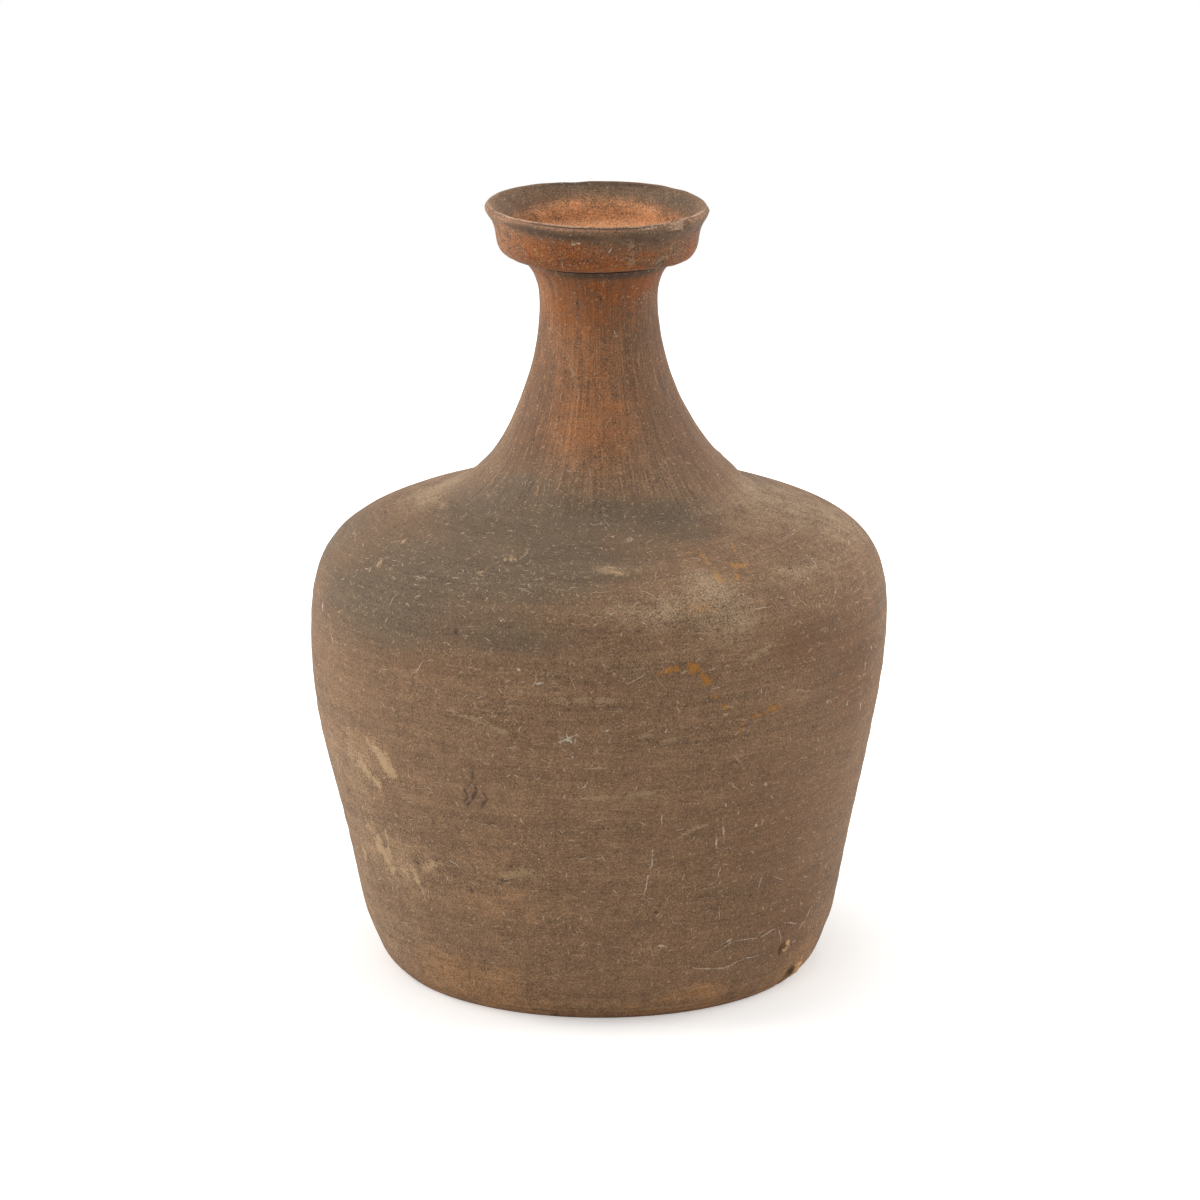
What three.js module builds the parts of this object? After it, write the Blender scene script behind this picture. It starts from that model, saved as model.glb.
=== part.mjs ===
// Unglazed earthenware wine jug, thrown on the wheel in five sections that are luted together with slip.
// Millimetres, +Z up: the jug stands on z = 0 and is round about the Z axis.

import * as THREE from "three";

// Outside radius at each turn of the wall, from the foot up to the lip
const FOOT_RADIUS = 105.5;
const HEEL_RADIUS = 124.2;
const BELLY_RADIUS = 148.4;
const CROWN_RADIUS = 80.7;
const WAIST_RADIUS = 30.1;
const COLLAR_RADIUS = 38.8;
const CUP_RADIUS = 51.6;
const LIP_RADIUS = 57.2;

// How far the edge of the base leans out, from the foot up to the wall
const BASE_FLARE = 4.5;

// Rise of each turn above the turn before it
const BASE_THICKNESS = 5.4;
const HEEL_RISE = 34.3;
const WALL_RISE = 145.3;
const SHOULDER_RISE = 64.4;
const NECK_RISE = 101.4;
const COLLAR_RISE = 21.3;
const CUP_RISE = 11.9;
const LIP_RISE = 14.4;

// Thickness of the clay at each turn, and of the slip in each joint
const FOOT_WIDTH = 16;
const HEEL_WALL = 8;
const BELLY_WALL = 7;
const CROWN_WALL = 6.5;
const WAIST_WALL = 6;
const COLLAR_WALL = 6;
const CUP_WALL = 5.5;
const LIP_WALL = 4.2;
const SLIP_THICKNESS = 1;

// Climb of the wall at each turn, in degrees from level: under 90 it leans out, over 90 it leans in
const FOOT_CLIMB = 55;
const COVE_CLIMB = 28;
const HEEL_CLIMB = 80;
const BELLY_CLIMB = 90;
const CROWN_CLIMB = 159.5;
const WAIST_CLIMB = 90;
const COLLAR_CLIMB = 40;
const UNDER_CUP_CLIMB = 12;
const CUP_CLIMB = 86;
const LIP_CLIMB = 58;

// How long a stretch of wall holds the climb of its lower and upper turn before it bends, as shares of its span
const EASY_HOLDS = [0.36, 0.34];
const SHOULDER_HOLDS = [0.52, 0.45];
const NECK_HOLDS = [0.18, 0.46];
const CUP_HOLDS = [0.5, 0.5];

// Facets round the jug, along a stretch that bends a little or a lot, and over the lip
const ROUND_STEPS = 48;
const GENTLE_STEPS = 4;
const FULL_STEPS = 8;
const LIP_STEPS = 6;

// Clay colours: brown where wood smoke reached, orange on the neck, dark in the joints
const BASE_COLOUR = 0x755841;
const WALL_COLOUR = 0x7a604b;
const SHOULDER_COLOUR = 0x7a6653;
const NECK_COLOUR = 0x845b40;
const CUP_COLOUR = 0x835d45;
const SLIP_COLOUR = 0x5c4534;
const CLAY_ROUGHNESS = 0.88;
const SLIP_ROUGHNESS = 0.95;

// Heights of the turns above the ground
const baseHeight = BASE_THICKNESS;
const heelHeight = baseHeight + HEEL_RISE;
const bellyHeight = heelHeight + WALL_RISE;
const crownHeight = bellyHeight + SHOULDER_RISE;
const waistHeight = crownHeight + NECK_RISE;
const collarHeight = waistHeight + COLLAR_RISE;
const cupHeight = collarHeight + CUP_RISE;
const lipHeight = cupHeight + LIP_RISE;

// Radius where the wall stands on the base
const baseRadius = FOOT_RADIUS + BASE_FLARE;

// The way that a climb points, in the plane of radius and height
function heading(climb) {
  const angle = THREE.MathUtils.degToRad(climb);
  return new THREE.Vector2(Math.cos(angle), Math.sin(angle));
}

// A turn of the wall, with the clay laid square to it on the inside.
// Where the climb breaks at the turn, the inside runs on smoothly, half way between the two climbs.
function turn(radius, height, thickness, climb, climbAbove = climb) {
  const middle = (climb + climbAbove) / 2;
  const point = new THREE.Vector2(radius, height);
  const insidePoint = point.clone().addScaledVector(heading(middle + 90), thickness);
  return {
    outside: { point, below: climb, above: climbAbove },
    inside: { point: insidePoint, below: middle, above: middle },
  };
}

// The wall's own foot, which stands flat on the base, with a cove of clay pressed into the inside corner
function footOfWall() {
  const wallBottom = baseHeight + SLIP_THICKNESS / 2;
  return {
    outside: { point: new THREE.Vector2(baseRadius, baseHeight), above: FOOT_CLIMB },
    inside: { point: new THREE.Vector2(baseRadius - FOOT_WIDTH, wallBottom), above: COVE_CLIMB },
  };
}

// The lip is a round roll: its outer start lies a quarter turn back from the climb
const lipRoll = LIP_WALL / 2;
const lipCentre = new THREE.Vector2(LIP_RADIUS - lipRoll, lipHeight);
const lipStart = lipCentre.clone().addScaledVector(heading(LIP_CLIMB - 90), lipRoll);

const turns = [
  footOfWall(),
  turn(HEEL_RADIUS, heelHeight, HEEL_WALL, HEEL_CLIMB),
  turn(BELLY_RADIUS, bellyHeight, BELLY_WALL, BELLY_CLIMB),
  turn(CROWN_RADIUS, crownHeight, CROWN_WALL, CROWN_CLIMB),
  turn(WAIST_RADIUS, waistHeight, WAIST_WALL, WAIST_CLIMB),
  turn(COLLAR_RADIUS, collarHeight, COLLAR_WALL, COLLAR_CLIMB, UNDER_CUP_CLIMB),
  turn(CUP_RADIUS, cupHeight, CUP_WALL, CUP_CLIMB),
  turn(lipStart.x, lipStart.y, LIP_WALL, LIP_CLIMB),
];

// The stretch above each turn but the last: heel, wall, shoulder, neck, collar, cup and rim
const stretches = [
  { holds: EASY_HOLDS, steps: GENTLE_STEPS },
  { holds: EASY_HOLDS, steps: GENTLE_STEPS },
  { holds: SHOULDER_HOLDS, steps: FULL_STEPS },
  { holds: NECK_HOLDS, steps: FULL_STEPS },
  { holds: EASY_HOLDS, steps: GENTLE_STEPS },
  { holds: CUP_HOLDS, steps: GENTLE_STEPS },
  { holds: EASY_HOLDS, steps: GENTLE_STEPS },
];

// The points of a smooth stretch of wall from one turn to the next, without its first point
function bend(lower, upper, { holds: [lowerHold, upperHold], steps }) {
  const span = lower.point.distanceTo(upper.point);
  const curve = new THREE.CubicBezierCurve(
    lower.point,
    lower.point.clone().addScaledVector(heading(lower.above), lowerHold * span),
    upper.point.clone().addScaledVector(heading(upper.below), -upperHold * span),
    upper.point,
  );
  return curve.getPoints(steps).slice(1);
}

// One face of the whole wall, from the joint on the base up to the lip
function face(side) {
  const points = [turns[0][side].point];
  stretches.forEach((stretch, index) => {
    points.push(...bend(turns[index][side], turns[index + 1][side], stretch));
  });
  return points;
}

const footEdge = new THREE.Vector2(FOOT_RADIUS, 0);
const slipEdge = new THREE.Vector2(baseRadius - FOOT_WIDTH, baseHeight - SLIP_THICKNESS / 2);
const outsideFace = [footEdge, ...face("outside")];
const insideFace = [slipEdge, ...face("inside")];

// The point of a face at one height
function pointAt(wallFace, height) {
  const index = Math.max(1, wallFace.findIndex((point) => point.y >= height));
  const below = wallFace[index - 1];
  const above = wallFace[index];
  const share = (height - below.y) / (above.y - below.y);
  return new THREE.Vector2(THREE.MathUtils.lerp(below.x, above.x, share), height);
}

// The points of a face from a low cut to a high one
function between(wallFace, low, high) {
  const kept = wallFace.filter((point) => point.y > low && point.y < high);
  return [pointAt(wallFace, low), ...kept, pointAt(wallFace, high)];
}

// The points of a face from a low cut to its top
function above(wallFace, low) {
  return [pointAt(wallFace, low), ...wallFace.filter((point) => point.y > low)];
}

// A ring of wall with a flat face at its lower and its upper cut
function ringProfile(low, high) {
  const outer = between(outsideFace, low, high);
  const inner = between(insideFace, low, high);
  return [...outer, ...inner.reverse(), outer[0]];
}

// The film of slip in the joint at one height
function slipProfile(height) {
  return ringProfile(height - SLIP_THICKNESS / 2, height + SLIP_THICKNESS / 2);
}

// A section of wall between two joints
function sectionProfile(lowJoint, highJoint) {
  return ringProfile(lowJoint + SLIP_THICKNESS / 2, highJoint - SLIP_THICKNESS / 2);
}

// The base disc, which is solid to the middle
function baseProfile() {
  const top = baseHeight - SLIP_THICKNESS / 2;
  const edge = between(outsideFace, 0, top);
  return [new THREE.Vector2(0, 0), ...edge, new THREE.Vector2(0, top)];
}

// The points over the top of the lip, between its outer and inner start
function lipCrest() {
  const steps = Array.from({ length: LIP_STEPS - 1 }, (_, index) => (index + 1) / LIP_STEPS);
  return steps.map((step) => {
    const round = heading(LIP_CLIMB - 90 + 180 * step);
    return lipCentre.clone().addScaledVector(round, lipRoll);
  });
}

// The cup, open at the top, where its wall turns over in the lip
function cupProfile() {
  const low = collarHeight + SLIP_THICKNESS / 2;
  const outer = above(outsideFace, low);
  const inner = above(insideFace, low);
  return [...outer, ...lipCrest(), ...inner.reverse(), outer[0]];
}

// Turns a profile of radius and height about the Z axis, as one named piece
function thrown(name, profile, color, roughness) {
  const geometry = new THREE.LatheGeometry(profile, ROUND_STEPS);
  geometry.rotateX(Math.PI / 2);
  const material = new THREE.MeshStandardMaterial({ color, roughness, metalness: 0 });
  const mesh = new THREE.Mesh(geometry, material);
  mesh.name = name;
  return mesh;
}

const jug = new THREE.Group();
jug.add(
  thrown("base_disc", baseProfile(), BASE_COLOUR, CLAY_ROUGHNESS),
  thrown("base_slip", slipProfile(baseHeight), SLIP_COLOUR, SLIP_ROUGHNESS),
  thrown("body_wall", sectionProfile(baseHeight, bellyHeight), WALL_COLOUR, CLAY_ROUGHNESS),
  thrown("belly_slip", slipProfile(bellyHeight), SLIP_COLOUR, SLIP_ROUGHNESS),
  thrown("shoulder", sectionProfile(bellyHeight, crownHeight), SHOULDER_COLOUR, CLAY_ROUGHNESS),
  thrown("neck_slip", slipProfile(crownHeight), SLIP_COLOUR, SLIP_ROUGHNESS),
  thrown("neck", sectionProfile(crownHeight, collarHeight), NECK_COLOUR, CLAY_ROUGHNESS),
  thrown("cup_slip", slipProfile(collarHeight), SLIP_COLOUR, SLIP_ROUGHNESS),
  thrown("mouth_cup", cupProfile(), CUP_COLOUR, CLAY_ROUGHNESS),
);

export default jug;
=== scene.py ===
# Looks of an unglazed earthenware wine jug, thrown in sections that are luted together with slip.
# Metres, +Z up. The jug is round about Z, and a bearing turns from the front (-Y) towards +X.
# A run is the way along the skin: from the foot up the outside, over the lip and down the inside.
import math

import bpy
import numpy as np
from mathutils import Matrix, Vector


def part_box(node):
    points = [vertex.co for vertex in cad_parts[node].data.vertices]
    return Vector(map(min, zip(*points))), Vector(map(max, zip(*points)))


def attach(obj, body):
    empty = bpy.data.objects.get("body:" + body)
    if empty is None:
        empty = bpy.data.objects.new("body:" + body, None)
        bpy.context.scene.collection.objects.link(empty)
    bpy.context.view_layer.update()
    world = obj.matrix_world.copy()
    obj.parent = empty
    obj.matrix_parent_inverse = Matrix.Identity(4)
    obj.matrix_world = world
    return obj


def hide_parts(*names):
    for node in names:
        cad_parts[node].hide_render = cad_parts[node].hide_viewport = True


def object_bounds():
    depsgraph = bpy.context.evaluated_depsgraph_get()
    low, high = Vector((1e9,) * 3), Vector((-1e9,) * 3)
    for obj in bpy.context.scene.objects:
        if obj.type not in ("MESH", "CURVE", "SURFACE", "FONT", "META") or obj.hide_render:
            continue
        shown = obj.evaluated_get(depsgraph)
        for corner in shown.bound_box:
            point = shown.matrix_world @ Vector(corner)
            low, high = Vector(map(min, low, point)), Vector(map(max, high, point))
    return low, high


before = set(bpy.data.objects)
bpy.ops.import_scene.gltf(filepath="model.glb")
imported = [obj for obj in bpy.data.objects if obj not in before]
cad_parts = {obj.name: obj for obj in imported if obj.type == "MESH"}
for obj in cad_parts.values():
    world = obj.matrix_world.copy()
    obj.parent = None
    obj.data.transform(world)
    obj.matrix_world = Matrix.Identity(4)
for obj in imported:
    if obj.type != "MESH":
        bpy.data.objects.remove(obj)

MM = 0.001
TINY = 0.01 * MM
FULL_TURN = 2 * math.pi
cad_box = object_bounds()

# Rings of the jug from the base up: each section of wall, and the film of slip in each joint
RINGS = ["base_slip", "body_wall", "belly_slip", "shoulder", "neck_slip", "neck", "cup_slip"]


# Outline of the jug, read from the solids

def outline(node):
    """The outline of a solid where y = 0, as (radius, height): up its outside and down its inside."""
    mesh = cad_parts[node].data
    spots = [tuple(round(value, 6) for value in vertex.co) for vertex in mesh.vertices]
    joined = {}
    for edge in mesh.edges:
        ends = [spots[index] for index in edge.vertices]
        if ends[0] != ends[1] and all(abs(y) < TINY and x > -TINY for x, y, z in ends):
            for spot, other in (ends, ends[::-1]):
                joined.setdefault(spot, set()).add(other)
    walk = [min(joined, key=lambda spot: (spot[2], -spot[0]))]
    onward = joined[walk[0]]
    while onward:
        walk.append(max(onward, key=lambda spot: spot[2]))
        onward = [spot for spot in joined[walk[-1]] if spot not in walk]
    return np.array([(x, z) for x, y, z in walk])


def ring_faces(node):
    """The outer points of a ring from its lower cut up, and its inner points from its upper cut down."""
    points = outline(node)
    top = points[:, 1].argmax()
    return points[:top + 1], points[top + 1:]


def lengths_along(points):
    """How far along a line of points each point lies."""
    return np.append(0, np.cumsum(np.hypot(*np.diff(points, axis=0).T)))


def smooth(points, step=0.1 * MM):
    """A natural cubic spline through points, as points at an even step."""
    run = lengths_along(points)
    gaps = np.diff(run)
    slopes = np.diff(points, axis=0) / gaps[:, None]
    system = np.eye(len(points))
    change = np.zeros_like(points)
    for i in range(1, len(points) - 1):
        system[i, i - 1:i + 2] = gaps[i - 1], 2 * (gaps[i - 1] + gaps[i]), gaps[i]
        change[i] = 6 * (slopes[i] - slopes[i - 1])
    bend = np.linalg.solve(system, change)
    at = np.append(np.arange(0, run[-1], step), run[-1])
    k = np.clip(np.searchsorted(run, at, side="right") - 1, 0, len(gaps) - 1)
    gap = gaps[k][:, None]
    past = (at - run[k])[:, None]
    left = gap - past
    cubic = (bend[k] * left ** 3 + bend[k + 1] * past ** 3) / (6 * gap)
    start = (points[k] / gap - bend[k] * gap / 6) * left
    end = (points[k + 1] / gap - bend[k + 1] * gap / 6) * past
    return cubic + start + end


# The skin starts in the middle of the underside. It bends freely, apart from a corner at the foot,
# one where the wall stands on the base and one under the cup.
UNDERSIDE_POINTS = 200
BASE_EDGE_POINTS = 60
foot = outline("base_disc")[0]
wall_points = np.vstack([ring_faces(node)[0][1:-1] for node in RINGS])
cup_points = outline("mouth_cup")[1:-1]
bore_faces = [ring_faces(node)[1] for node in RINGS[:0:-1]]
bore_points = np.vstack([face[1:-1] for face in bore_faces] + [bore_faces[-1][-1:]])
underside = np.linspace((0, 0), foot, UNDERSIDE_POINTS)
base_edge = np.linspace(foot, wall_points[0], BASE_EDGE_POINTS)
wall_skin = smooth(wall_points)
cup_skin = smooth(np.vstack([wall_points[-1:], cup_points, bore_points]))
skin = np.vstack([underside[:-1], base_edge[:-1], wall_skin[:-1], cup_skin])
FOOT = len(underside) - 1
CREST = skin[:, 1].argmax()
skin_run = lengths_along(skin)
skin_run -= skin_run[FOOT]
tangent = np.gradient(skin, axis=0)
tangent /= np.hypot(*tangent.T)[:, None]
skin_normal = np.column_stack([tangent[:, 1], -tangent[:, 0]])
LIP_RUN = skin_run[CREST]
LIP_RADIUS = skin[CREST, 0]


def outer_run(height):
    """The run of a height on the outside."""
    return np.interp(height, skin[FOOT:CREST, 1], skin_run[FOOT:CREST])


def inner_run(height):
    """The run of a height on the inside."""
    return np.interp(-height, -skin[CREST:, 1], skin_run[CREST:])


def radius_at(run):
    """The radius of the skin at a run."""
    return np.interp(run, skin_run, skin[:, 0])


def on_skin(runs):
    """Rows of radius, height, outward normal and run, for places along the skin."""
    columns = [*skin.T, *skin_normal.T, skin_run]
    return np.column_stack([np.interp(runs, skin_run, column) for column in columns])


# Hand work on the clay

def ramp(value, low, high):
    """Rises smoothly from 0 at low to 1 at high, or falls if high is the lower."""
    share = np.clip((value - low) / (high - low), 0, 1)
    return share * share * (3 - 2 * share)


def hill(value, middle, reach):
    """A soft hill of 1 at the middle, which has fallen to about a third at its reach."""
    return np.exp(-((value - middle) / reach) ** 2)


def turn_from(bearing, degrees):
    """The turn in radians from a bearing in degrees, the shorter way round."""
    return (bearing - math.radians(degrees) + math.pi) % FULL_TURN - math.pi


# Waves in the clay: a seed, the range of their length along the wall in mm, the range of their turns
# round it, and their usual depth in mm
UNEVEN_WALL = (1, (90, 220), (-4, 5), 0.2)
WHEEL_RINGS = (2, (9, 20), (-2, 3), 0.07)
NECK_STROKES = (3, (60, 160), (14, 44), 0.05)
LIP_WEAR = (4, (9, 40), (-26, 27), 0.1)
RAGGED_BREAK = (21, (2.5, 9), (-90, 90), 1)
WAVE_COUNT = 14


def waves(bearing, run, seed, length, turns, depth):
    """The sum of many waves, drawn by chance from the ranges."""
    draw = np.random.default_rng(seed)
    total = 0
    for _ in range(WAVE_COUNT):
        pitch = FULL_TURN / (draw.uniform(*length) * MM)
        total = total + np.sin(run * pitch + draw.integers(*turns) * bearing + draw.uniform(0, FULL_TURN))
    return total * depth * MM * math.sqrt(2 / WAVE_COUNT)


# Places where clay broke away: bearing in degrees, then run, width, height and depth in mm
CHIPS = [
    (45, 473, 18, 7.5, 1.8),
    (27, 474.4, 9, 2.2, 0.3),
]
# Crumbs of clay that were torn up, in the same order, but with the height they stand proud
CRUMBS = [
    (51.6, 33.5, 5, 7, 1.2),
    (63, 11.5, 8, 14, 0.9),
]
# Hollows beside them, with the depth
HOLLOWS = [
    (49.8, 31.5, 3.5, 8, 1.8),
    (59, 9, 8, 17, 2.4),
    (-168, 478, 16, 7, 0.5),
]
# Soft lumps under the skin, with the height
LUMPS = [
    (102, 312, 44, 20, 1.8),
    (104, 321, 3, 3, 0.4),
    (150, 240, 9, 6, 0.5),
]
# Where the edge of each falls off, as shares of its size, and how ragged its outline and its face are
CHIP_EDGE = (1.0, 0.8)
CHIP_RAGGED = 0.12
CHIP_ROUGH = 0.2
CRUMB_EDGE = (1.0, 0.6)
CRUMB_RAGGED = 0.2
CRUMB_ROUGH = 0.3
HOLLOW_EDGE = (1.2, 0.2)


def spread(bearing, run, degrees, place, width, height):
    """How far each place lies from the middle of a patch: 1 is the patch's edge."""
    across = turn_from(bearing, degrees) * radius_at(run) / (width / 2 * MM)
    up = (run - place * MM) / (height / 2 * MM)
    return np.hypot(across, up)


def ragged(bearing, run):
    """Small uneven waves, about -1 to 1, that make the edge of a break ragged."""
    return waves(bearing, run, *RAGGED_BREAK) / MM


def broken(bearing, run):
    """How far each place lies inside a chip, from 0 to 1, and how deep the chip is there."""
    share = 0
    depth = 0
    uneven = ragged(bearing, run)
    for *patch, deep in CHIPS:
        inside = ramp(spread(bearing, run, *patch) + CHIP_RAGGED * uneven, *CHIP_EDGE)
        share = np.maximum(share, inside)
        depth = np.maximum(depth, inside * deep * MM * (1 + CHIP_ROUGH * uneven))
    return share, depth


def torn(bearing, run):
    """How far each place lies on a torn crumb, from 0 to 1, and how far it stands proud (or is hollow)."""
    share = 0
    proud = 0
    uneven = ragged(bearing, run)
    for *patch, rise in CRUMBS:
        inside = ramp(spread(bearing, run, *patch) + CRUMB_RAGGED * uneven, *CRUMB_EDGE)
        share = np.maximum(share, inside)
        proud = proud + inside * rise * MM * (1 + CRUMB_ROUGH * uneven)
    for *patch, deep in HOLLOWS:
        proud = proud - deep * MM * ramp(spread(bearing, run, *patch), *HOLLOW_EDGE)
    for *patch, rise in LUMPS:
        proud = proud + rise * MM * hill(spread(bearing, run, *patch), 0, 1)
    return share, proud


# Where hand work fades in or out: above the foot, up the neck and the cup, at the lip and in the bowl
FOOT_FADE = (2 * MM, 20 * MM)
NECK_FADE = (285 * MM, 330 * MM)
CUP_FADE = (440 * MM, 466 * MM)
CREST_FADE = (LIP_RUN + 4 * MM, LIP_RUN)
BOWL_FADE = (LIP_RUN + 40 * MM, LIP_RUN + 10 * MM)
# How much the strokes up the neck wiped out its wheel rings
RINGS_WIPED_OUT = 0.7
# The top of the lip was cut to a bevel that falls outwards: its middle lies this far before the crest
BEVEL_MIDDLE = 2.0 * MM
BEVEL_HALF_WIDTH = 1.9 * MM
BEVEL_DEPTH = 0.6 * MM
# The shoulder is a little fuller than a true curve, half way up it
FULL_SHOULDER = 0.5 * MM
FULL_SHOULDER_RUN = 232 * MM
FULL_SHOULDER_REACH = 18 * MM
# and so is the heel, just above the base
FULL_HEEL = 1.3 * MM
FULL_HEEL_RUN = 10 * MM
FULL_HEEL_REACH = 8 * MM
# A shallow groove runs round the front of the heel, where the wall was luted on the base
SEAM_RUN = 8.6 * MM
SEAM_REACH = 0.8 * MM
SEAM_DEPTH = 0.35 * MM
SEAM_FADE = (math.radians(60), math.radians(25))


def hand_work(bearing, run):
    """How far the potter's hands and later wear moved the skin outwards."""
    outside = ramp(run, *FOOT_FADE) * ramp(run, *CREST_FADE)
    neck = ramp(run, *NECK_FADE) * outside
    lip = ramp(run, *CUP_FADE) * ramp(run, *BOWL_FADE)
    uneven = waves(bearing, run, *UNEVEN_WALL) * outside
    rings = waves(bearing, run, *WHEEL_RINGS) * outside * (1 - RINGS_WIPED_OUT * neck)
    strokes = waves(bearing, run, *NECK_STROKES) * neck * (1 - lip)
    worn = waves(bearing, run, *LIP_WEAR) * lip
    full = FULL_SHOULDER * hill(run, FULL_SHOULDER_RUN, FULL_SHOULDER_REACH)
    full = full + FULL_HEEL * hill(run, FULL_HEEL_RUN, FULL_HEEL_REACH)
    bevel = BEVEL_DEPTH * np.clip(1 - ((run - LIP_RUN + BEVEL_MIDDLE) / BEVEL_HALF_WIDTH) ** 2, 0, None)
    front = ramp(np.abs(turn_from(bearing, 0)), *SEAM_FADE)
    seam = SEAM_DEPTH * front * hill(run, SEAM_RUN, SEAM_REACH)
    proud = torn(bearing, run)[1] - broken(bearing, run)[1]
    return uneven + rings + strokes + worn + full + proud - bevel - seam


# The jug leans a little: at each height in mm, the middle of the wall lies this many mm to the right
LEAN_HEIGHTS = [0, 40, 130, 185, 245, 268, 300, 372, 401]
LEAN = [0.6, -0.2, -1.3, 0, 1.2, 2.9, 0.8, -0.9, -0.9]
# The cup was set on askew, lower to the right and to the front
CUP_FALL_RIGHT = 0.014
CUP_FALL_FRONT = 0.007
CUP_FALL_FADE = (376 * MM, 400 * MM)
# and its underside sags on the right
CUP_SAG = 1.0 * MM
CUP_SAG_RUN = 447 * MM
CUP_SAG_REACH = 9 * MM
CUP_SAG_FADE = (15 * MM, 50 * MM)


def shaped(rows, bearing, sink):
    """Places of a grid of points: rows along the skin at each bearing, sunk into the clay by a depth."""
    radius, height, out, up, run = (column[:, None] for column in rows.T)
    turn = bearing[None, :]
    moved = hand_work(turn, run) - sink
    reach = radius + moved * out
    rise = height + moved * up
    lean = np.interp(rise, np.array(LEAN_HEIGHTS) * MM, np.array(LEAN) * MM)
    widest = cad_box[1].x
    x = np.clip(reach * np.sin(turn) + lean, -widest, widest)
    y = np.clip(-reach * np.cos(turn), -widest, widest)
    most_fall = math.hypot(CUP_FALL_RIGHT, CUP_FALL_FRONT) * LIP_RADIUS
    fall = CUP_FALL_RIGHT * x - CUP_FALL_FRONT * y + most_fall
    sag = CUP_SAG * hill(run, CUP_SAG_RUN, CUP_SAG_REACH) * ramp(x, *CUP_SAG_FADE)
    z = rise - ramp(rise, *CUP_FALL_FADE) * fall - sag
    return np.stack([x, y, np.clip(z, 0, cad_box[1].z)], axis=-1)


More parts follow.
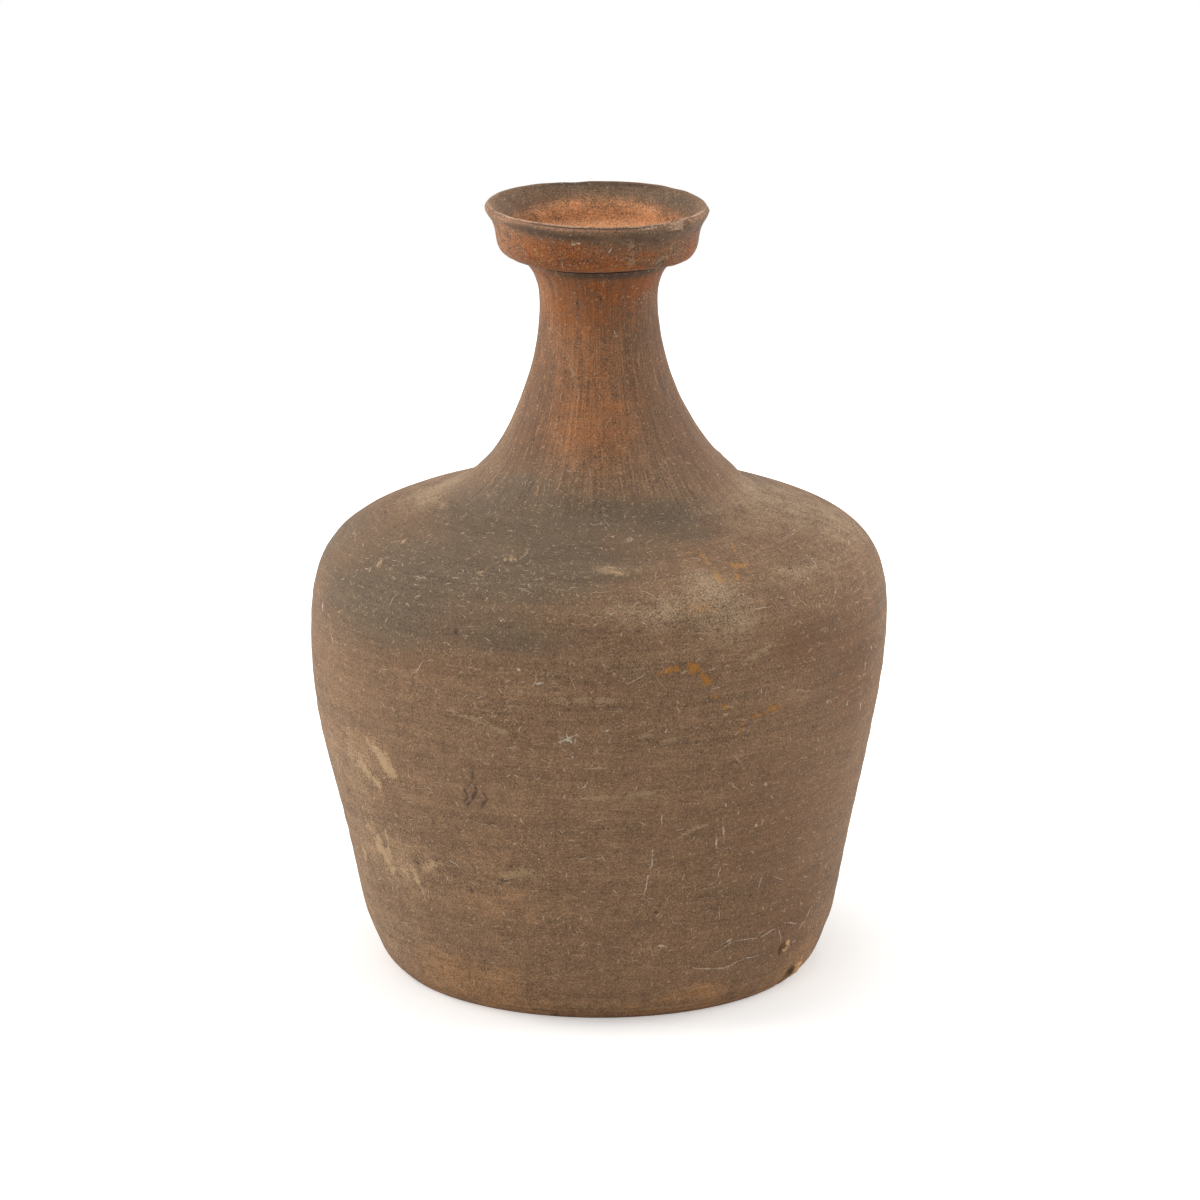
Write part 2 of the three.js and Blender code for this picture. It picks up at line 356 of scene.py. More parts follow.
# Colour zones of the clay, each a list of soft clouds: bearing in degrees, then run, half width and
# half height in mm, and strength. A cloud with a half width of ALL_ROUND is a belt.
ALL_ROUND = 999
ZONES = {
    # Tan clay low on the left, where the skin has rubbed thin
    "tan": [
        (-54, 86, 26, 20, 0.75), (-60, 130, 22, 22, 0.6), (-70, 110, 30, 70, 0.4),
        (-62, 30, 40, 26, 0.5), (-28, 86, 40, 16, 0.35), (10, 208, 50, 8, 0.35),
        (-150, 60, 50, 40, 0.5), (-20, 3, 44, 6, 0.6),
    ],
    # Pale buff clay in patches on the shoulder
    "buff": [
        (16, 231, 40, 11, 0.65), (24, 252, 9, 7, 0.7), (25, 243, 10, 8, 0.8), (26, 232, 13, 9, 0.75),
        (27, 218, 13, 9, 0.5), (50, 242, 28, 9, 0.5), (88, 262, 46, 30, 0.7), (60, 288, 30, 18, 0.35),
        (96, 292, 36, 18, 0.7), (-92, 284, 28, 12, 0.7), (-98, 292, 30, 14, 0.7),
        (170, 250, 40, 20, 0.6), (-140, 270, 40, 18, 0.6),
    ],
    # Ochre clay on the heel and in the buff patch; the belt round the foot is painted floor bounce light
    "ochre_and_bounce_light": [
        (0, 6, ALL_ROUND, 9, 0.5), (-36, 24, 44, 14, 0.6), (26, 19, 14, 4, 0.6), (-24, 80, 44, 30, 0.3),
        (-22, 11, 40, 9, 0.4), (30, 14, 8, 2.5, 0.7), (18, 15, 9, 2, 0.6), (60, 22, 30, 16, 0.5),
        (21, 231, 12, 4, 0.6),
    ],
    # Dark brown patches over the wall and neck; the two on the sides of the bowl are painted shade
    "umber_and_shade": [
        (38, 90, 66, 80, 0.45), (48, 205, 34, 14, 0.75), (-40, 199, 50, 9, 0.5), (42, 392, 11, 46, 0.9),
        (58, 388, 12, 46, 0.8), (54, 338, 18, 24, 0.6), (-50, 350, 18, 30, 0.85),
        (-64, 388, 9, 40, 0.8), (62, 182, 34, 32, 0.7), (52, 46, 26, 20, 0.5), (120, 488, 30, 9, 0.9),
        (-125, 488, 24, 8, 0.7), (50, 455, 26, 12, 0.8), (72, 390, 16, 60, 0.9), (26, 385, 9, 50, 0.4),
        (-34, 400, 10, 50, 0.5), (-150, 160, 60, 60, 0.6), (130, 370, 20, 60, 0.6),
        (76, 458, 18, 14, 0.85),
    ],
    # Olive grey, from wood smoke; the two clouds on the sides of the bowl are painted shade
    "smoke_and_shade": [
        (-12, 266, 46, 18, 0.95), (25, 304, 22, 10, 0.9), (-24, 290, 70, 22, 0.85),
        (-45, 244, 70, 30, 0.8), (-54, 221, 62, 14, 0.85), (-88, 236, 40, 28, 0.6),
        (-16, 216, 36, 10, 0.5), (2, 309, 26, 9, 0.6), (-20, 248, 46, 14, 0.7), (-54, 205, 56, 12, 0.4),
        (-62, 302, 40, 16, 0.4), (-40, 317, 24, 12, 0.7), (34, 290, 26, 16, 0.5),
        (150, 290, 70, 22, 0.8), (-120, 235, 60, 20, 0.7), (-165, 120, 60, 40, 0.5),
        (180, 480, 60, 4, 0.5), (126, 484, 26, 7, 0.6), (-112, 484, 20, 6, 0.5),
    ],
    # Light orange clay, most on the front and left of the neck
    "orange": [
        (-6, 384, 16, 36, 0.8), (-6, 350, 20, 20, 0.65), (-20, 408, 22, 12, 0.5),
        (-62, 458, 24, 14, 0.8), (0, 375, ALL_ROUND, 46, 0.25), (170, 380, 30, 50, 0.7),
        (180, 455, 70, 18, 0.7), (-50, 420, 22, 16, 0.7),
    ],
    # Deep red-orange under and on the cup
    "ember": [
        (2, 426, 24, 12, 1.0), (10, 410, 18, 12, 0.6), (-18, 453, 44, 14, 0.95), (30, 452, 24, 10, 0.6),
        (50, 430, 16, 8, 0.6), (64, 455, 16, 12, 0.7), (-60, 434, 20, 6, 0.6), (170, 430, 30, 14, 0.8),
        (180, 452, 70, 14, 0.6), (-34, 414, 14, 14, 0.5),
    ],
    # Bright orange in the bowl of the cup
    "glow": [
        (180, 498, 50, 9, 1.0), (180, 494, 44, 5, 0.8), (0, 507, ALL_ROUND, 13, 0.8),
    ],
    # The cut top of the lip, rubbed to a pinkish buff
    "rubbed": [
        (-74, 474, 40, 2.2, 0.7), (0, 473.6, 45, 1.4, 0.8), (64, 474.2, 24, 1.8, 0.6),
    ],
    # Its sharp inner edge: a pale line, partly worn and partly a painted highlight
    "edge": [
        (-20, 476.0, 90, 0.45, 1.0), (50, 476.0, 40, 0.4, 0.8),
    ],
    # Black soot at the lip, and painted shade under the cup's overhang and along the lip's inner edge
    "soot_and_shade": [
        (16, 436, 26, 5.5, 0.95), (-16, 440, 16, 6, 0.5), (0, 469, 42, 4, 0.5), (28, 465, 20, 7, 0.5),
        (60, 468, 25, 6, 0.4), (-44, 471, 22, 3.5, 0.4), (130, 469, 40, 6, 0.7),
        (180, 478, 70, 2.0, 0.6), (8, 460, 40, 8, 0.25), (-14, 474.9, 30, 0.4, 0.7),
        (14, 474.9, 14, 0.4, 0.8), (2, 437, 36, 4.5, 0.8),
    ],
    # Blotched clay, where soot, dust and fire marks lie over each other on the cup
    "blotched": [
        (0, 458, ALL_ROUND, 20, 1.0),
    ],
    # Dust and fine grit on the surface
    "dusty": [
        (-20, 180, 22, 12, 0.9), (-8, 162, 24, 8, 0.6), (14, 170, 34, 9, 0.7), (-15, 108, 16, 10, 0.9),
        (-2, 124, 8, 8, 0.6), (-10, 62, 12, 14, 0.7), (16, 80, 22, 12, 0.6), (4, 200, 44, 9, 0.6),
        (16, 238, 46, 18, 0.8), (-18, 250, 34, 16, 0.6), (-48, 246, 26, 18, 0.5), (12, 44, 40, 8, 0.5),
        (0, 320, 50, 14, 0.6), (-60, 60, 30, 30, 0.4), (60, 230, 40, 30, 0.5), (70, 180, 20, 14, 0.7),
        (10, 456, 40, 12, 0.4), (180, 150, 140, 80, 0.4),
    ],
}

# Where the potter stroked the clay upwards: it fades in up the neck, and out under the cup
STROKED_FROM = (285 * MM, 325 * MM)
STROKED_TO = (440 * MM, 432 * MM)


def painted(clouds, bearing, run):
    """How strongly soft clouds of colour cover each place."""
    bare = 1
    for degrees, place, wide, tall, strength in clouds:
        across = turn_from(bearing, degrees) * radius_at(run) / (wide * MM)
        up = (run - place * MM) / (tall * MM)
        bare = bare * (1 - strength * np.exp(-across ** 2 - up ** 2))
    return 1 - bare


def paint(mesh, bearing, run):
    """Gives the points of a turned mesh the layers that the clay's colours are made from."""
    turn = bearing[None, :]
    along = run[:, None]
    layers = {zone: painted(clouds, turn, along) for zone, clouds in ZONES.items()}
    layers["fracture"] = broken(turn, along)[0]
    layers["crumb"] = torn(turn, along)[0]
    layers["stroked"] = ramp(along, *STROKED_FROM) * ramp(along, *STROKED_TO)
    layers["along"] = along
    for layer, values in layers.items():
        values = np.broadcast_to(values, (len(run), len(bearing)))
        mesh.attributes.new(layer, "FLOAT", "POINT").data.foreach_set("value", values.ravel())


# Meshes of the sections

def runs(*stops):
    """Places along the skin. Each stop is a place, and the step in mm from it to the next stop."""
    spans = []
    for (start, step), (end, _) in zip(stops, stops[1:]):
        count = max(2, math.ceil((end - start) / (step * MM)) + 1)
        spans.append(np.linspace(start, end, count)[:-1])
    return np.concatenate(spans + [[stops[-1][0]]])


def bearings(step, fine=()):
    """Bearings once round, in radians, with a finer step in some spans: from, to and step in degrees."""
    marks = []
    at = -180.0
    while at < 180 - step / 4:
        marks.append(at)
        at += next((small for low, high, small in fine if low <= at < high), step)
    return np.radians(marks)


# Faces that meet at more than this angle keep a sharp edge
SHARP_ANGLE = math.radians(40)


def turned(name, rows, bearing, sink=0, solid=False):
    """A piece turned from rows along its outline, which closes on itself or is solid to the axis."""
    points = shaped(rows, bearing, sink)
    count, round_count = points.shape[:2]
    index = np.arange(count * round_count).reshape(count, round_count)
    rings = count - 1 if solid else count
    below = index[:rings]
    above = np.roll(index, -1, axis=0)[:rings]
    corners = [below, np.roll(below, -1, axis=1), np.roll(above, -1, axis=1), above]
    faces = np.stack(corners, axis=-1).reshape(-1, 4).tolist()

    # The layout for baking: once round from left to right, and along the outline from the bottom up
    climbed = lengths_along(np.append(rows, rows[:1], axis=0)[:, :2])
    climbed = climbed / climbed[-1]
    turns = np.append((bearing - bearing[0]) / FULL_TURN, 1)
    left, low = np.meshgrid(turns[:-1], climbed[:rings])
    right, high = np.meshgrid(turns[1:], climbed[1:rings + 1])
    flat = np.stack([left, low, right, low, right, high, left, high], axis=-1).ravel()
    if solid:
        faces += [index[0, ::-1].tolist(), index[-1].tolist()]
        under = np.column_stack([turns[:-1][::-1], np.full(round_count, climbed[0])])
        over = np.column_stack([turns[:-1], np.full(round_count, climbed[count - 1])])
        flat = np.concatenate([flat, under.ravel(), over.ravel()])

    mesh = bpy.data.meshes.new(name)
    mesh.from_pydata(points.reshape(-1, 3).tolist(), [], faces)
    mesh.uv_layers.new(name="OFBake").data.foreach_set("uv", flat)
    paint(mesh, bearing, rows[:, 4])
    mesh.shade_smooth()
    mesh.set_sharp_from_angle(angle=SHARP_ANGLE)
    piece = bpy.data.objects.new(name, mesh)
    bpy.context.scene.collection.objects.link(piece)
    return piece


# Steps between rows in mm, up the outside of each ring and down its inside
RING_STEPS = {
    "base_slip": (0.25, 0.5),
    "body_wall": (2, 7),
    "belly_slip": (0.5, 1),
    "shoulder": (1.7, 5),
    "neck_slip": (0.5, 1),
    "neck": (1.4, 4),
    "cup_slip": (0.25, 0.5),
}
# The wall has finer rows up its heel, for the crumbs and hollows there
HEEL_STEP = 0.6
HEEL_TOP = 44 * MM


def ring_rows(node):
    """Rows of a ring of wall, up its outside and down its inside."""
    low, high = (corner.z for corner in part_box(node))
    outer_step, inner_step = RING_STEPS[node]
    stops = [(outer_run(low), outer_step), (outer_run(high), 0)]
    if node == "body_wall":
        stops = [(outer_run(low), HEEL_STEP), (HEEL_TOP, outer_step), (outer_run(high), 0)]
    inner = runs((inner_run(high), inner_step), (inner_run(low), 0))
    return on_skin(np.concatenate([runs(*stops), inner]))


# Materials

def linear(code):
    """A hex sRGB colour as linear RGBA."""
    parts = [int(code[place:place + 2], 16) / 255 for place in (1, 3, 5)]
    return [part / 12.92 if part <= 0.04045 else ((part + 0.055) / 1.055) ** 2.4 for part in parts] + [1]


def add(tree, kind, inputs=(), **settings):
    """Adds a node with its settings. Inputs are values, or nodes and sockets to link, in order or named."""
    made = tree.nodes.new("ShaderNode" + kind)
    for setting, value in settings.items():
        setattr(made, setting, value)
    sockets = [socket for socket in made.inputs if socket.enabled]
    named = inputs.items() if isinstance(inputs, dict) else enumerate(inputs)
    for key, value in named:
        socket = sockets[key] if isinstance(key, int) else made.inputs[key]
        if isinstance(value, bpy.types.Node):
            value = next(output for output in value.outputs if output.enabled)
        if isinstance(value, bpy.types.NodeSocket):
            tree.links.new(value, socket)
        else:
            socket.default_value = value
    return made


def new_tree(block):
    """The emptied node tree of a material or a world."""
    block.use_nodes = True
    block.node_tree.nodes.clear()
    return block.node_tree


# Patterns and marks are laid out round the jug at this radius, so they spread and close up with the wall
LAYOUT_RADIUS = 100 * MM

# Patterns in the clay: laid over the jug or round the wheel, the size of a cell in mm, and detail.
# Clay grit is 0.2 to 0.5 mm, which is under a pixel here, so the grain is drawn at 0.8 mm.
PATTERNS = {
    "clouds": ("over", (42, 42, 42), 3),
    "drift": ("over", (15, 15, 15), 2),
    "mottle": ("over", (5, 5, 5), 3),
    "grain": ("over", (0.8, 0.8, 0.8), 1),
    "bands": ("round", (70, 70, 7), 3),
    "streaks": ("round", (14, 14, 1.3), 2),
    "strokes": ("round", (2.2, 2.2, 30), 2),
}
# How much each pattern lightens or darkens the clay, wiped round the wheel or stroked up the neck
WIPED = {"clouds": 0.3, "drift": 0.4, "mottle": 0.6, "grain": 2.2, "bands": 0.6, "streaks": 0.6}
STROKED = {"clouds": 0.3, "drift": 0.4, "mottle": 0.7, "grain": 2.0, "strokes": 1.3}
# and how much stronger they are where the clay is blotched
BLOTCHED_MORE = 0.5
# How much each pattern breaks up the edges of colour zones and of marks
ZONE_EDGES = {"clouds": 1.0, "drift": 0.6, "mottle": 0.7, "grain": 0.5}
MARK_EDGES = {"mottle": 1.0, "grain": 0.8}
# and how much the zones' edges are broken up, on plain clay and more where it is blotched
EDGES_BROKEN = 1.4
EDGES_BROKEN_MORE = 1.0
# How high each pattern stands on the surface, in mm
RELIEF = {"mottle": 0.15, "grain": 0.12, "streaks": 0.1}

# The clay's own brown, and the colour of each zone with the softness of its edge
BROWN = "#7e6147"
ZONE_COLOURS = {
    "tan": ("#93775a", 0.45),
    "buff": ("#9a8064", 0.45),
    # The ochre belt round the foot is painted bounce light from the floor
    "ochre_and_bounce_light": ("#a0774f", 0.45),
    # Umber and smoke also paint shade on the sides of the bowl inside the cup
    "umber_and_shade": ("#6c4d34", 0.45),
    "smoke_and_shade": ("#62513e", 0.45),
    "orange": ("#96633d", 0.45),
    "ember": ("#83491b", 0.45),
    "glow": ("#c58b5f", 0.45),
    "rubbed": ("#8c664c", 0.35),
    # The pale inner edge of the lip is partly a painted highlight
    "edge": ("#b08a72", 0.35),
    # The soot colour also paints the shade under the cup and along the lip's inner edge
    "soot_and_shade": ("#473222", 0.35),
    "fracture": ("#a0826a", 0.2),
    "crumb": ("#bf966a", 0.2),
}

# Grit and pores: laid over the jug or round the wheel, spacing in mm, how many places hold one, radius
# as a share of the spacing, cover, two colours, and the layer where they lie. Dust lies thick in places,
# grains of lime and fired clay stand out, dashes were dragged level by a wet hand and fibres upwards,
# and pores are small dark pits.
GRIT = {
    "dust": ("over", (1.2, 1.2, 1.0), 0.15, 0.62, 0.55, ("#8f775a", "#b89c78"), "everywhere"),
    "grains": ("over", (7, 7, 7), 0.05, 0.15, 0.8, ("#b98658", "#c9b398"), "everywhere"),
    "dashes": ("round", (7, 7, 1.1), 0.2, 0.38, 0.4, ("#a08265", "#b3977c"), "wiped"),
    "fibres": ("round", (3.4, 3.4, 11), 0.2, 0.45, 0.5, ("#a9764d", "#b08a69"), "stroked"),
    "pores": ("over", (3.6, 3.6, 3.6), 0.16, 0.17, 0.75, ("#3f3026", "#4c3a2c"), "everywhere"),
}
# How ragged the edge of a grain is, and how sharp
GRIT_RAGGED = 2.5
GRIT_SHARP = 9.0
# Nicks, fine scratches from use that are each turned their own way: spacing, length and width in mm,
# how many places hold one, cover and two colours
NICKS = {
    "short": (5, 3.2, 0.55, 0.14, 0.7, ("#a98d6f", "#cdbba3")),
    "long": (15, 10, 0.5, 0.1, 0.65, ("#a98d6f", "#cdbba3")),
}
# A nick is solid up to this share of its half width
NICK_SOLID = 0.5
# How much more grit and nicks a dusty place holds, and how patchy they are
DUSTY_MORE = 0.35
GRIT_PATCHY = 0.45

# Marks on the clay by kind: colour, how much it covers, how ragged its edge is, and the marks themselves.
# Each mark is its width in mm and a line of places: bearing in degrees and run in mm.
MARKS = {
    # Pale smears of dried clay and dust
    "smear": ("#a48b69", 0.5, 3.0, [
        (6, [(18.2, 452), (20, 457)]), (5, [(17.6, 463), (18.4, 465.5)]),
        (4, [(33.4, 451.3), (40.9, 452.9)]), (3, [(-24, 380), (-23, 383)]),
        (8, [(0.5, 263), (5.5, 258)]), (5, [(8.8, 261), (10, 260)]), (5, [(-76, 292.5), (-71, 291)]),
        (1.1, [(-25, 8.2), (-10, 9), (0, 8.8), (13, 8.6), (25, 8.7)]),
        (2.6, [(-6, 134.5), (5, 136.2), (12.5, 137.8)]), (3.5, [(-9, 187), (-2, 187.6), (3, 187)]),
        (4, [(30, 203), (36, 208)]), (3, [(12, 165), (16, 166)]), (2, [(7, 168), (10, 168.6)]),
        (3, [(18, 112), (24, 118)]), (5, [(-20, 88), (-13, 91)]),
        (3, [(-30, 176), (-22, 172), (-18, 168)]),
    ]),
    # Scrapes through the skin, down to paler clay
    "scrape": ("#b39570", 0.85, 2.4, [
        (11, [(-51.6, 147), (-46.6, 133)]), (9, [(-58.4, 134), (-52.6, 125)]),
        (9, [(-58.7, 98), (-54, 76)]), (2, [(-53, 101), (-53, 81)]),
        (5, [(-53.6, 76), (-45.8, 79.5), (-43.2, 68)]), (4, [(-67, 80), (-66, 71)]),
        (5, [(-41.5, 84), (-37, 88.5)]), (1.6, [(1, 264.5), (4.4, 262.4)]),
        (1.6, [(2.4, 260), (5.6, 257.6)]), (2.4, [(-25.6, 265.5), (-24.7, 263)]),
        (2.2, [(-24.2, 266), (-22.9, 262.6)]), (1.8, [(-23, 265.4), (-22.2, 264.4)]),
        (2.2, [(-29.8, 251.4), (-28.6, 252.4)]), (2, [(-29.2, 250.4), (-28, 250)]),
        (2.6, [(-61, 261), (-59.6, 258)]), (2.6, [(-58.5, 242), (-57.5, 239)]),
    ]),
    # Fine scratches from use
    "scratch": ("#c3b19b", 0.8, 2.2, [
        (0.9, [(11.2, 104), (11.6, 99.7), (10.9, 91.6), (9.7, 74), (9.1, 68)]),
        (0.8, [(25, 111), (26, 100)]), (0.8, [(26.2, 119), (27.2, 108)]),
        (0.7, [(19.4, 106.7), (20.9, 111.5)]), (0.8, [(27.3, 89.4), (27.2, 83.5)]),
        (0.7, [(18.5, 85.3), (19.3, 89.2)]), (0.8, [(28, 67.5), (29, 59.6)]),
        (0.7, [(27.8, 39.6), (33.8, 45.4), (40.5, 43.5), (46.7, 46.2)]),
        (0.9, [(22.3, 33.6), (31.1, 30.1), (37.5, 33.4), (41.6, 33)]), (0.7, [(49, 48), (54.6, 44.1)]),
        (0.9, [(56.4, 40.2), (58.5, 44.3), (60.4, 50.5)]), (1.6, [(30.9, 45), (32.4, 46.6)]),
        (1.2, [(13.2, 49.1), (15.4, 47.6)]), (0.7, [(47.5, 45.6), (49.2, 36.5)]),
        (0.8, [(-71.5, 143), (-70, 133)]), (1.4, [(-15.6, 463.4), (-12, 464.8), (-9.9, 464.7)]),
        (1.0, [(20.6, 474), (30, 474.6)]),
        (0.7, [(8.8, 288), (10, 289.6), (11.2, 288), (10, 286.4), (8.8, 288)]),
    ]),
    # Specks of lime
    "lime": ("#d2c7b7", 0.7, 2.2, [
        (1.9, [(-11.6, 195.2), (-11.2, 195.8)]), (1.1, [(-5.1, 157.2), (-4.9, 157.8)]),
        (1.0, [(1.2, 171.6), (1.8, 171.9)]), (1.4, [(5.6, 460), (6.8, 461)]),
        (1.2, [(14.8, 402.6), (15.2, 403.4)]), (1.8, [(-7.4, 165.6), (-5, 168.4)]),
        (1.6, [(-7.2, 168), (-5.2, 165.6)]), (1.4, [(-6.4, 170.5), (-6, 166)]),
        (1.6, [(-4.6, 142.5), (-3.8, 139.5)]), (1.1, [(-3.8, 139.5), (-2, 144)]),
        (1.6, [(-15.6, 202), (-15.4, 201.5)]), (1.4, [(-18, 107.3), (-18, 106.6)]),
        (1.2, [(-13, 99.2), (-12.7, 98.8)]), (2, [(68.5, 190), (69.5, 186)]),
        (1.8, [(66, 182), (66, 178)]), (1.6, [(66, 160), (66, 156)]), (1.4, [(59, 166), (59, 163)]),
        (1.4, [(-20, 225.3), (-19.8, 224.7)]), (3, [(-73, 208), (-73, 206)]),
    ]),
    # Rusty spots
    "rust": ("#a56c1f", 0.85, 2.4, [
        (4.6, [(12, 199.6), (15, 202.8)]), (6.5, [(17.6, 203), (19.2, 200.8)]),
        (5, [(20.2, 199.5), (21.2, 192.4)]), (3, [(21, 196), (22.6, 195)]),
        (3, [(22.7, 186.6), (23.1, 185.6)]), (3, [(25, 181), (25.8, 178)]),
        (4.2, [(35.2, 175), (37.2, 175.3)]), (2.6, [(31, 172), (34.6, 174)]),
        (2.4, [(28.5, 166), (28.8, 170)]),
    ]),
    # Soft ochre stains on the shoulder
    "stain": ("#ab7b40", 0.75, 3.2, [
        (2.2, [(25, 272), (28.7, 269.7)]), (2.8, [(28.7, 269.7), (28.3, 251.7), (28.8, 245.6)]),
        (1.4, [(40, 271.4), (37.5, 262)]), (6, [(35, 257), (37, 254)]),
        (4, [(33.8, 250), (32.6, 246.4)]),
    ]),
    # Pits and dark scribbles, and painted shade in the hollows beside the heel chips
    "pits_and_hollow_shade": ("#43342a", 0.9, 1.6, [
        (1.9, [(-26.1, 146), (-26.1, 140), (-27.3, 136)]),
        (2.2, [(-25.4, 139), (-25.4, 134.6), (-27, 128.3), (-28, 124.6)]),
        (1.6, [(-28, 135), (-27.6, 131), (-28.4, 127)]),
        (2.2, [(-23.8, 134.5), (-23.3, 130.7), (-25.1, 124.5)]), (1.6, [(-44.4, 85.8), (-43, 84.8)]),
        (2, [(103.4, 321), (104.6, 321)]), (3, [(-22, 84.6), (-20, 85)]), (2, [(-30, 76.4), (-29, 76)]),
        # These two marks paint shade into the hollows beside the heel chips
        (4, [(60.4, 14), (61.6, 6)]), (1.6, [(50.4, 30.4), (50, 32)]),
        (0.7, [(-12, 10), (0, 9.9), (13, 9.7)]), (1.6, [(-29.9, 78.2), (-29.3, 76.8)]),
        (0.9, [(-32.5, 103.6), (-32.9, 96.2)]), (1.5, [(36.2, 69.8), (36.9, 69.6)]),
        (1.4, [(45, 73.2), (45.2, 72.2)]), (1.2, [(53.6, 52), (53.7, 51.4)]),
        (2.2, [(12.7, 67.6), (13.3, 67.6)]), (1.1, [(57.9, 65.6), (58, 65)]),
        (1.2, [(68.6, 81), (68.6, 79.6)]), (1.4, [(47.6, 245), (48.6, 244.8)]),
        (3.6, [(-29.4, 218), (-28.8, 214.5)]), (1.2, [(44.6, 391), (45.6, 389)]),
        (2, [(1.2, 421), (2.6, 419)]),
    ]),
}

# A mark's nearness fades out at this many times its half width, and it is solid up to this share of it
MARK_REACH = 3.0
MARK_SOLID = 0.3
# Each stretch of a mark reaches this share of its length from its middle, and this share of its width
# further, so that the stretches join
MARK_HALF_LENGTH = 0.6
MARK_ENDS = 0.25
# Marks are bent out of line by this much, over waves of this size, in mm. Grit is bent half as much.
BENT_BY = 2.2
BENT_OVER = 4.0
GRIT_BENT = 0.5
CLAY_IOR = 1.5


def mark_mask(tree, flat, marks, cover, uneven):
    """How strongly marks show on the clay. Flat is the place on the skin, laid out flat."""
    nearest = 0.0
    for width, places in marks:
        for (turn, run), (next_turn, next_run) in zip(places, places[1:]):
            stretch = LAYOUT_RADIUS / radius_at((run + next_run) / 2 * MM)
            across = math.radians(next_turn - turn) * LAYOUT_RADIUS
            up = (next_run - run) * MM
            slant = math.atan2(up, across)
            half_width = width / 2 * MM * math.hypot(math.sin(slant) * stretch, math.cos(slant))
            half_length = math.hypot(across, up) * MARK_HALF_LENGTH + width * MARK_ENDS * MM
            middle = (math.radians(turn + next_turn) / 2 * LAYOUT_RADIUS, (run + next_run) / 2 * MM, 0)
            reach = (half_length * MARK_REACH, half_width * MARK_REACH, 1)
            mapped = add(tree, "Mapping", {
                "Vector": flat, "Location": middle, "Rotation": (0, 0, slant), "Scale": reach,
            }, vector_type="TEXTURE")
            near = add(tree, "TexGradient", [mapped], gradient_type="SPHERICAL").outputs["Fac"]
            nearest = add(tree, "Math", [nearest, near], operation="MAXIMUM")
    inside = add(tree, "Math", [nearest, MARK_REACH, uneven], operation="MULTIPLY_ADD")
    return add(tree, "MapRange", {
        "Value": inside,
        "From Min": MARK_REACH - 1.0,
        "From Max": MARK_REACH - MARK_SOLID,
        "To Max": cover,
    })


def grit_mask(tree, place, spacing, share, size, uneven):
    """Where grains show, scattered at a spacing in mm, and a number from 0 to 1 for each grain."""
    cells = add(tree, "VectorMath", [place, [1 / (gap * MM) for gap in spacing]], operation="MULTIPLY")
    grains = add(tree, "TexVoronoi", {"Vector": cells, "Scale": 1})
    chance = add(tree, "SeparateColor", [grains.outputs["Color"]])
    least = add(tree, "Math", [1.0, share], operation="SUBTRACT")
    reach = add(tree, "MapRange", {
        "Value": chance.outputs["Red"], "From Min": least, "From Max": 1.0, "To Max": size,
    })
    ragged_edge = add(tree, "Math", [uneven, -GRIT_RAGGED, 1.0], operation="MULTIPLY_ADD")
    far = add(tree, "Math", [grains.outputs["Distance"], ragged_edge], operation="MULTIPLY")
    inside = add(tree, "Math", [reach, far], operation="SUBTRACT")
    shown = add(tree, "Math", [inside, GRIT_SHARP], operation="MULTIPLY", use_clamp=True)
    return shown, chance.outputs["Green"]


def nick_mask(tree, flat, spacing, length, width, share):
    """Where nicks show, scattered at a spacing in mm, and a number from 0 to 1 for each nick."""
    cells = add(tree, "VectorMath", [flat, [1 / (spacing * MM)] * 3], operation="MULTIPLY")
    nicks = add(tree, "TexVoronoi", {"Vector": cells, "Scale": 1}, voronoi_dimensions="2D")
    chance = add(tree, "SeparateColor", [nicks.outputs["Color"]])
    offset = add(tree, "VectorMath", [cells, nicks.outputs["Position"]], operation="SUBTRACT")
    slant = add(tree, "Math", [chance.outputs["Red"], math.pi], operation="MULTIPLY")
    slanted = add(tree, "VectorRotate", {"Vector": offset, "Angle": slant}, rotation_type="Z_AXIS")
    halves = (2 * spacing / length, 2 * spacing / width, 0)
    sized = add(tree, "VectorMath", [slanted, halves], operation="MULTIPLY")
    far = add(tree, "VectorMath", [sized], operation="LENGTH")
    held = add(tree, "Math", [chance.outputs["Green"], share], operation="LESS_THAN")
    shown = add(tree, "MapRange", {"Value": far, "From Min": 1.0, "From Max": NICK_SOLID, "To Max": held})
    return shown, chance.outputs["Blue"]


def mixture(tree, patterns, weights):
    """The sum of patterns, each times its weight."""
    total = 0.0
    for pattern, weight in weights.items():
        total = add(tree, "Math", [patterns[pattern], weight, total], operation="MULTIPLY_ADD")
    return total


def in_zones(tree, layers, patterns):
    """The clay's own brown, covered by the colour of each zone up to its uneven edge."""
    edges = mixture(tree, patterns, ZONE_EDGES)
    amounts = [layers["blotched"], EDGES_BROKEN_MORE, EDGES_BROKEN]
    amount = add(tree, "Math", amounts, operation="MULTIPLY_ADD")
    patchy = add(tree, "Math", [edges, amount, 1.0], operation="MULTIPLY_ADD")
    colour = linear(BROWN)
    for zone, (tint, softness) in ZONE_COLOURS.items():
        uneven = add(tree, "Math", [layers[zone], patchy], operation="MULTIPLY")
        cover = add(tree, "MapRange", {
            "Value": uneven, "From Min": 0.5 - softness, "From Max": 0.5 + softness,
        }, interpolation_type="SMOOTHSTEP")
        colour = add(tree, "Mix", [cover, colour, linear(tint)], data_type="RGBA")
    return colour


